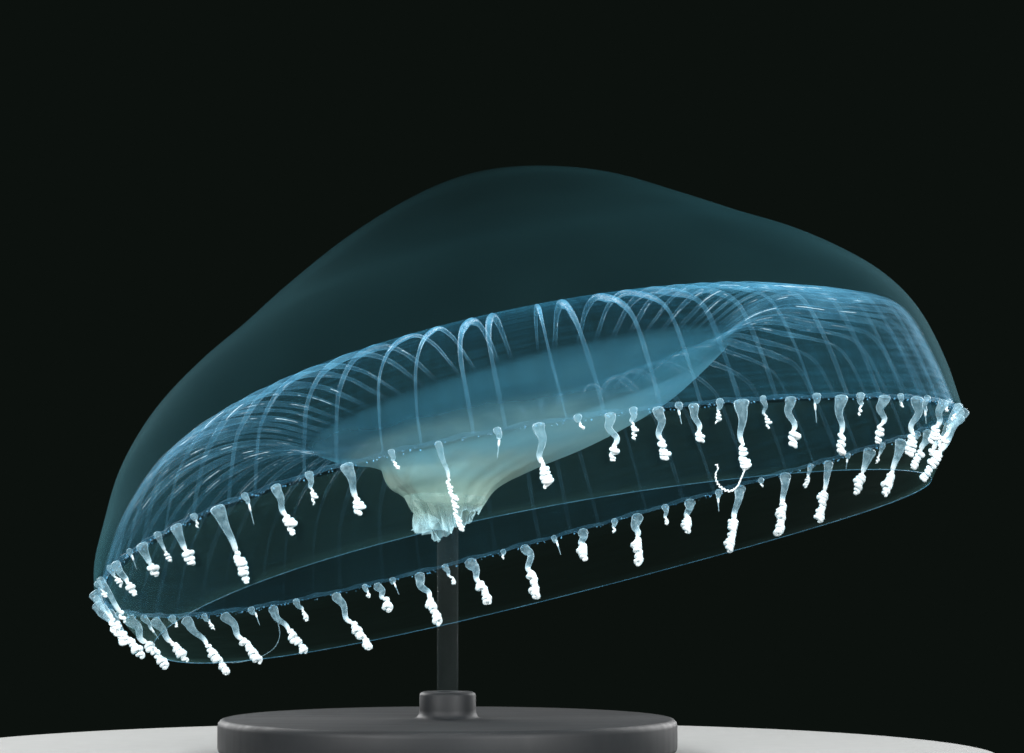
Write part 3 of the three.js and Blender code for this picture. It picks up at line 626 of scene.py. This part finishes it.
def hung_from_margin(points, angle, radius, drop):
    """Puts a tentacle, drawn down -Z from its root, in its place on the margin."""
    middle, more_at_back, more_at_high_end = TENTACLE_LEAN
    lean = math.radians(middle + more_at_back * math.sin(angle)
                        + more_at_high_end * max(math.cos(angle), 0) ** 12)
    turned = np.array(Matrix.Rotation(angle, 3, "Z") @ Matrix.Rotation(lean, 3, "Y"))
    root = np.array([radius * math.cos(angle), radius * math.sin(angle), float(saddle(radius, angle)) - drop])
    return points @ turned.T + root


def coiled(length, coil_from, chance, bulb, stalk, coil=COIL_RADIUS, wire=COIL_WIRE, pitch=COIL_PITCH):
    """Centre line and half widths of a funnel-shaped root, a bent stalk and a coil, for one tentacle."""
    s = np.r_[np.linspace(-0.34, 0.2, 12)[:-1], np.linspace(0.2, coil_from, 28)[:-1],
              np.arange(coil_from, length, pitch / 12)]
    into = np.clip((s - coil_from) / 0.3, 0, 1)
    # Turns crowd and spread, and grow and shrink, as they do in living tissue.
    uneven = 0.6 * np.sin(2.3 * s + chance.uniform(0, 6)) + 0.4 * np.sin(5.9 * s + chance.uniform(0, 6))
    turns = 2 * math.pi * (s - coil_from) / pitch + 2.2 * uneven
    swing = coil * into * (1 + 0.45 * uneven) * np.clip(0.35 + (length - s) / 0.7, 0.35, 1)
    down = np.clip(s / coil_from, 0, 1)
    bend = (chance.choice([-1, 1]) * chance.uniform(0.15, 0.42) * stalk / 0.3
            * np.sin(2 * math.pi * down**1.3) * np.clip(s, 0, 1))
    sway = chance.uniform(-0.5, 0.5) * np.clip(s / length, 0, 1) ** 1.5
    hook = chance.choice([-1, 1]) * chance.uniform(0.1, 0.45) * bulb * np.exp(-np.maximum(s, 0) / 0.9)
    tilt = chance.uniform(-0.5, 0.5)
    points = np.stack([0.6 * bend + swing * np.cos(turns),
                       hook + bend + sway + 0.18 * into * uneven + swing * np.sin(turns),
                       -s - tilt * swing * np.sin(turns)], 1)
    funnel = stalk + (bulb - stalk) * np.exp(-(np.maximum(s, 0) / (0.2 * length + 0.3)) ** 1.2)
    half = funnel * np.interp(s, [-0.34, -0.31, -0.22, -0.05, 0.1], [0.1, 0.5, 0.82, 0.98, 1.0])
    lumps = 1 + 0.2 * np.sin(0.7 * turns + chance.uniform(0, 6)) + 0.14 * np.sin(2.3 * turns) + 0.15 * uneven
    half = np.where(s > coil_from, wire * lumps * np.clip((length - s) / 0.15, 0.3, 1), half)
    half = np.where(abs(s - coil_from) < 0.25, np.minimum(half, 0.85 * stalk), half)
    along = np.where(s < coil_from, np.clip(s / coil_from, 0, 1), 1 + (s - coil_from) / (length - coil_from))
    return points, half, along


# Tentacle: clear bluish tissue with milky sides in bulb and stalk, and stinging cells packed dense in
# the coil, which is white with a painted cyan sheen where it is seen at a slant. Its grains are 0.55 mm
# across: the real cells, of 0.01 mm, are too fine.
tentacle_skin, tree = new_material("milky tentacle, white stinging coil")
place = add(tree, "ShaderNodeTexCoord").outputs["Object"]
grains = add(tree, "ShaderNodeTexNoise", {"Vector": place, "Scale": 1 / (0.55 * MM), "Detail": 2.0})
along = add(tree, "ShaderNodeAttribute", attribute_name="along").outputs["Fac"]
coil = add(tree, "ShaderNodeMapRange", {0: along, 1: 0.6, 2: 1.03}, interpolation_type="SMOOTHSTEP")
# Painted sheen: the coil's colour turns from white to cyan where its surface is seen at a slant.
facing = add(tree, "ShaderNodeLayerWeight", {"Blend": 0.5}).outputs["Facing"]
side = add(tree, "ShaderNodeMapRange", {0: facing, 1: 0.55, 2: 0.95}, interpolation_type="SMOOTHSTEP")
pale = add(tree, "ShaderNodeMix", {0: grains, 6: colour("#7fc3de"), 7: colour("#c4e6f0")},
           data_type="RGBA").outputs[2]
white = add(tree, "ShaderNodeMix", {0: side, 6: colour("#eef7f9"), 7: colour("#8ad8ec")},
            data_type="RGBA").outputs[2]
base = add(tree, "ShaderNodeMix", {0: coil, 6: pale, 7: white}, data_type="RGBA").outputs[2]
grainy = add(tree, "ShaderNodeMapRange", {0: grains, 1: 0.35, 2: 0.7, 3: 0.07, 4: 0.18})
milk = add(tree, "ShaderNodeMix", {0: coil, 2: grainy, 3: 0.9}, data_type="FLOAT")
rough = add(tree, "ShaderNodeBump", {"Height": grains, "Strength": 0.3, "Distance": 0.0001})
finish_sheet(tree, base, milk, roughness=0.3, normal=rough, thinnest=0.12, gloss=0.5)

chance = np.random.default_rng(21)
tentacle_lines = []
for i, length in enumerate(TENTACLE_LENGTHS):
    at = tentacle_angle(i)
    coil_from = length * (0.55 - 0.1 * math.sin(at) + chance.uniform(-0.05, 0.05))
    shape = {"bulb": 0.72 * chance.uniform(0.85, 1.15) * min(1, 0.6 + length / 16),
             "stalk": chance.uniform(0.21, 0.28)}
    if i in HARDLY_COILED:
        coil_from = 0.82 * length
        shape["bulb"] *= 0.8
    if i == LONG_CHAIN:
        shape = {"bulb": 0.42, "coil": 0.17, "wire": 0.15, "pitch": 0.36, "stalk": 0.14}
        coil_from = 0.4 * length
    points, half, along = coiled(length, coil_from, chance, **shape)
    points = hung_from_margin(points, at, *TENTACLE_ROOT)
    if i == HOOKED_THREAD:
        # This one is unwound at its end: the thread swings down, across and up again.
        thread = smooth_through(HOOK, THREAD_STEPS) @ bell_pose[:3, :3]
        ripple = 0.09 * np.sin(np.arange(THREAD_STEPS) * 1.9)[:, None] * np.array([1.0, 0, 1.0])
        points = np.concatenate([points, points[-1] + thread[1:] + ripple[1:]])
        half = np.r_[half, np.linspace(0.1, 0.07, THREAD_STEPS - 1)]
        along = np.r_[along, np.full(THREAD_STEPS - 1, 2.0)]
    tentacle_lines.append({"points": points, "thickness": half, "along": along})
tentacles = tubes("tentacles", tentacle_lines, tentacle_skin, TENTACLE_SIDES)
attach(tentacles, "root")
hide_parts(*[f"tentacle_{i:02d}" for i in range(1, TENTACLES + 1)])

# ---- Small tentacles ---------------------------------------------------------------------------
# Young tentacles stand between the large ones: a small bulb with a short stalk, which is wound a
# few turns. In every third the end isn't wound yet, and is a straight fine thread.
SMALL_LENGTHS = [2.2, 1.3, 2.8, 1.2, 2, 3, 1.6]
SMALL_ROOT = (49.9, 0.35)
SMALL_SIDES = 6
UNWOUND_STEPS = 20
# The large tentacle, counted from 0, and the point of its line that the loose thread hangs from.
LOOSE_THREAD, LOOSE_FROM = 13, 14
LOOP_WIDTH = 0.05
LOOP = [(0, 0, 0), (0.5, -0.4, -1.4), (0.7, -0.9, -2.8), (0.2, -1.5, -4.1), (-1.1, -2.0, -5.1),
        (-2.8, -2.3, -5.7), (-4.6, -2.4, -6.0), (-6.2, -2.3, -6.0)]

small_lines = []
for i in range(TENTACLES):
    length = SMALL_LENGTHS[i % len(SMALL_LENGTHS)] * chance.uniform(0.9, 1.2)
    at = tentacle_angle(i + 0.5 + chance.uniform(-0.12, 0.12))
    points, half, along = coiled(length, length * chance.uniform(0.45, 0.65), chance,
                                 bulb=chance.uniform(0.36, 0.5), coil=0.17, wire=0.13, pitch=0.38, stalk=0.14)
    if i % 3 == 1:
        # A young one not yet wound: its end is a straight fine thread.
        s = np.linspace(0, 1, UNWOUND_STEPS)[1:]
        first = np.argmax(along >= 0.85)
        tip = points[first] + np.outer(s, [0.2, chance.uniform(-0.6, 0.6), -chance.uniform(1.2, 2.2)])
        points = np.concatenate([points[:first + 1], tip])
        half = np.r_[half[:first + 1], np.interp(s, [0, 0.3, 0.35, 1], [0.14, 0.12, 0.06, 0.03])]
        along = np.r_[along[:first + 1], np.interp(s, [0, 0.25, 0.4, 1], [0.9, 1.0, 0.7, 0.7])]
    points = hung_from_margin(points, at, *SMALL_ROOT)
    small_lines.append({"points": points, "thickness": half, "along": np.minimum(along, 1.2)})
# One loose thread hangs in a loop below the low end of the margin.
loop_start = tentacle_lines[LOOSE_THREAD]["points"][LOOSE_FROM]
small_lines.append({"points": loop_start + smooth_through(LOOP, THREAD_STEPS) @ bell_pose[:3, :3],
                    "thickness": LOOP_WIDTH, "along": 0.6})
small_tentacles = tubes("small_tentacles", small_lines, tentacle_skin, SMALL_SIDES)
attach(small_tentacles, "root")

# ---- Display stand -----------------------------------------------------------------------------
# A heavy round base of satin black acrylic with a short collar, and a thin polished clear rod that
# goes up through the mouth and carries the bell.
ROD_RADIUS, ROD_TOP_RADIUS, ROD_BEVEL = 1.2, 0.9, 0.3
# From the floor of the socket in the collar, over the top and down the side to the underside's middle.
BASE_PROFILE = [(POLE_RADIUS, 2), (1.5, 2), (1.5, 6.8), (1.7, 7), (2.8, 7), (3.1, 6.85), (3.2, 6.6),
                (3.2, 5), (3.25, 4.5), (3.5, 4.15), (3.9, 4), (25.2, 4), (25.6, 3.9), (25.9, 3.6),
                (26, 3.2), (26, 0.8), (25.9, 0.4), (25.6, 0.1), (25.2, 0), (POLE_RADIUS, 0)]
BASE_COLUMNS = 128

# Base: black acrylic, turned and rubbed to a satin finish. Almost black, with a broad soft sheen that
# fine scuffs about 1 mm apart and 17 mm long break up, and a haze every 14 mm.
satin_black, tree = new_material("satin black acrylic")
place = add(tree, "ShaderNodeTexCoord").outputs["Object"]
haze = add(tree, "ShaderNodeTexNoise", {"Vector": place, "Scale": 1 / (14 * MM), "Detail": 5.0})
drawn_out = add(tree, "ShaderNodeMapping",
                {"Vector": place, "Scale": (1 / (17 * MM), 1 / (1.1 * MM), 1 / (17 * MM))})
scuffs = add(tree, "ShaderNodeTexNoise", {"Vector": drawn_out, "Scale": 1.0, "Detail": 2.0})
base = add(tree, "ShaderNodeMix", {0: haze, 6: colour("#0d0f11"), 7: colour("#1b1f22")},
           data_type="RGBA").outputs[2]
rough = add(tree, "ShaderNodeMapRange", {0: scuffs, 1: 0.3, 2: 0.7, 3: 0.5, 4: 0.62})
relief = add(tree, "ShaderNodeBump", {"Height": scuffs, "Strength": 0.05, "Distance": 0.0001})
lit = add(tree, "ShaderNodeBsdfPrincipled",
          {"Base Color": base, "Roughness": rough, "Normal": relief, "IOR": 1.49, "Specular IOR Level": 0.35})
add(tree, "ShaderNodeOutputMaterial", {"Surface": lit})

angles = np.arange(BASE_COLUMNS) * 2 * math.pi / BASE_COLUMNS
base_points = MM * np.array([[(r * math.cos(a), r * math.sin(a), z) for a in angles]
                             for r, z in BASE_PROFILE])
stand_base = mesh_object("stand_base_turned", base_points,
                         ring_faces(len(BASE_PROFILE), BASE_COLUMNS, True, True), [satin_black])
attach(stand_base, "root")
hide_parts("stand_base")

# Rod: cast acrylic, flame polished. Clear, with pale sides and faint smears 3 mm wide and 25 mm long.
clear_acrylic, tree = new_material("polished clear acrylic")
place = add(tree, "ShaderNodeTexCoord").outputs["Object"]
drawn_out = add(tree, "ShaderNodeMapping",
                {"Vector": place, "Scale": (1 / (3.3 * MM), 1 / (3.3 * MM), 1 / (25 * MM))})
smears = add(tree, "ShaderNodeTexNoise", {"Vector": drawn_out, "Scale": 1.0, "Detail": 3.0})
base = add(tree, "ShaderNodeMix", {0: smears, 6: colour("#a9c3ca"), 7: colour("#d5e4e6")},
           data_type="RGBA").outputs[2]
milk = add(tree, "ShaderNodeMapRange", {0: smears, 1: 0.3, 2: 0.7, 3: 0.003, 4: 0.009})
finish_sheet(tree, base, milk, roughness=0.06, thinnest=0.12, gloss=0.5)

rod_low, rod_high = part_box("stand_rod")
rod_rows = [(POLE_RADIUS * MM, rod_high.z), (ROD_TOP_RADIUS * MM, rod_high.z),
            (ROD_RADIUS * MM, rod_high.z - ROD_BEVEL * MM), (ROD_RADIUS * MM, rod_low.z),
            (POLE_RADIUS * MM, rod_low.z)]
rod_angles = angles[::2]
rod_points = np.array([[(r * math.cos(a), r * math.sin(a), z) for a in rod_angles] for r, z in rod_rows])
stand_rod = mesh_object("stand_rod_clear", rod_points, ring_faces(len(rod_rows), len(rod_angles), True, True),
                        [clear_acrylic])
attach(stand_rod, "root")
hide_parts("stand_rod")

# ---- Floor, light and camera -------------------------------------------------------------------
# A small plain pale table top, dark all round as in a dim gallery, and soft studio lights on every
# side, so that the clear jelly glows.
FLOOR_RADIUS = 0.062
# What the lights point at: this many mm above the middle of the margin, along the bell's axis.
LIT_HEIGHT = 8
# Each light: compass direction and height in degrees, distance, size in metres, and power in watts.
LIGHTS = [("front left", 232, 22, 0.45, 0.25, 2.4), ("front right", 305, 18, 0.45, 0.25, 2.8),
          ("above", 270, 78, 0.4, 0.25, 1.0), ("back left", 130, 22, 0.45, 0.25, 1.8),
          ("back right", 50, 18, 0.45, 0.25, 1.8)]
CAMERA_DISTANCE, FOCAL_LENGTH, SENSOR_WIDTH = 0.45, 139.46, 36.0
AIM = (-0.00178, 0, 0.01369)

# Table top: matt painted board, pale grey, with a faint mottle of 2.5 mm.
pale_floor, tree = new_material("plain pale table top")
place = add(tree, "ShaderNodeTexCoord").outputs["Object"]
speckle = add(tree, "ShaderNodeTexNoise", {"Vector": place, "Scale": 1 / (2.5 * MM), "Detail": 3.0})
base = add(tree, "ShaderNodeMix", {0: speckle, 6: colour("#8b8d8c"), 7: colour("#959796")},
           data_type="RGBA").outputs[2]
lit = add(tree, "ShaderNodeBsdfPrincipled", {"Base Color": base, "Roughness": 0.7})
add(tree, "ShaderNodeOutputMaterial", {"Surface": lit})
rim = [(FLOOR_RADIUS * math.cos(a), FLOOR_RADIUS * math.sin(a), 0.0) for a in angles]
floor = mesh_object("table_top", rim, [tuple(range(BASE_COLUMNS))], [pale_floor])

world = bpy.data.worlds.new("dim gallery")
world.use_nodes = True
world.node_tree.nodes["Background"].inputs["Color"].default_value = colour("#0c110e")
bpy.context.scene.world = world

bell_middle = Vector(in_row_frame([[0, 0, LIT_HEIGHT]])[0])
for name, around_deg, up_deg, distance, size, power in LIGHTS:
    lamp = bpy.data.lights.new(name, "AREA")
    lamp.size = size
    lamp.energy = power
    light = bpy.data.objects.new(name, lamp)
    a, e = math.radians(around_deg), math.radians(up_deg)
    direction = Vector((math.cos(a) * math.cos(e), math.sin(a) * math.cos(e), math.sin(e)))
    light.location = bell_middle + distance * direction
    light.rotation_euler = (bell_middle - light.location).to_track_quat("-Z", "Y").to_euler()
    light.visible_camera = False
    bpy.context.scene.collection.objects.link(light)

bpy.context.scene.view_settings.view_transform = "Standard"
# Many clear skins and tubes lie behind one another.
bpy.context.scene.cycles.transparent_max_bounces = 32

margin_middle = Vector(in_row_frame([[0, 0, 0]])[0])
lens = bpy.data.cameras.new("camera")
lens.sensor_width = SENSOR_WIDTH
lens.lens = FOCAL_LENGTH
lens.clip_start, lens.clip_end = 0.01, 10
camera = bpy.data.objects.new("camera", lens)
camera.location = margin_middle + Vector((0, -CAMERA_DISTANCE, 0))
aim = margin_middle + Vector(AIM)
camera.rotation_euler = (aim - camera.location).to_track_quat("-Z", "Y").to_euler()
bpy.context.scene.collection.objects.link(camera)
bpy.context.scene.camera = camera
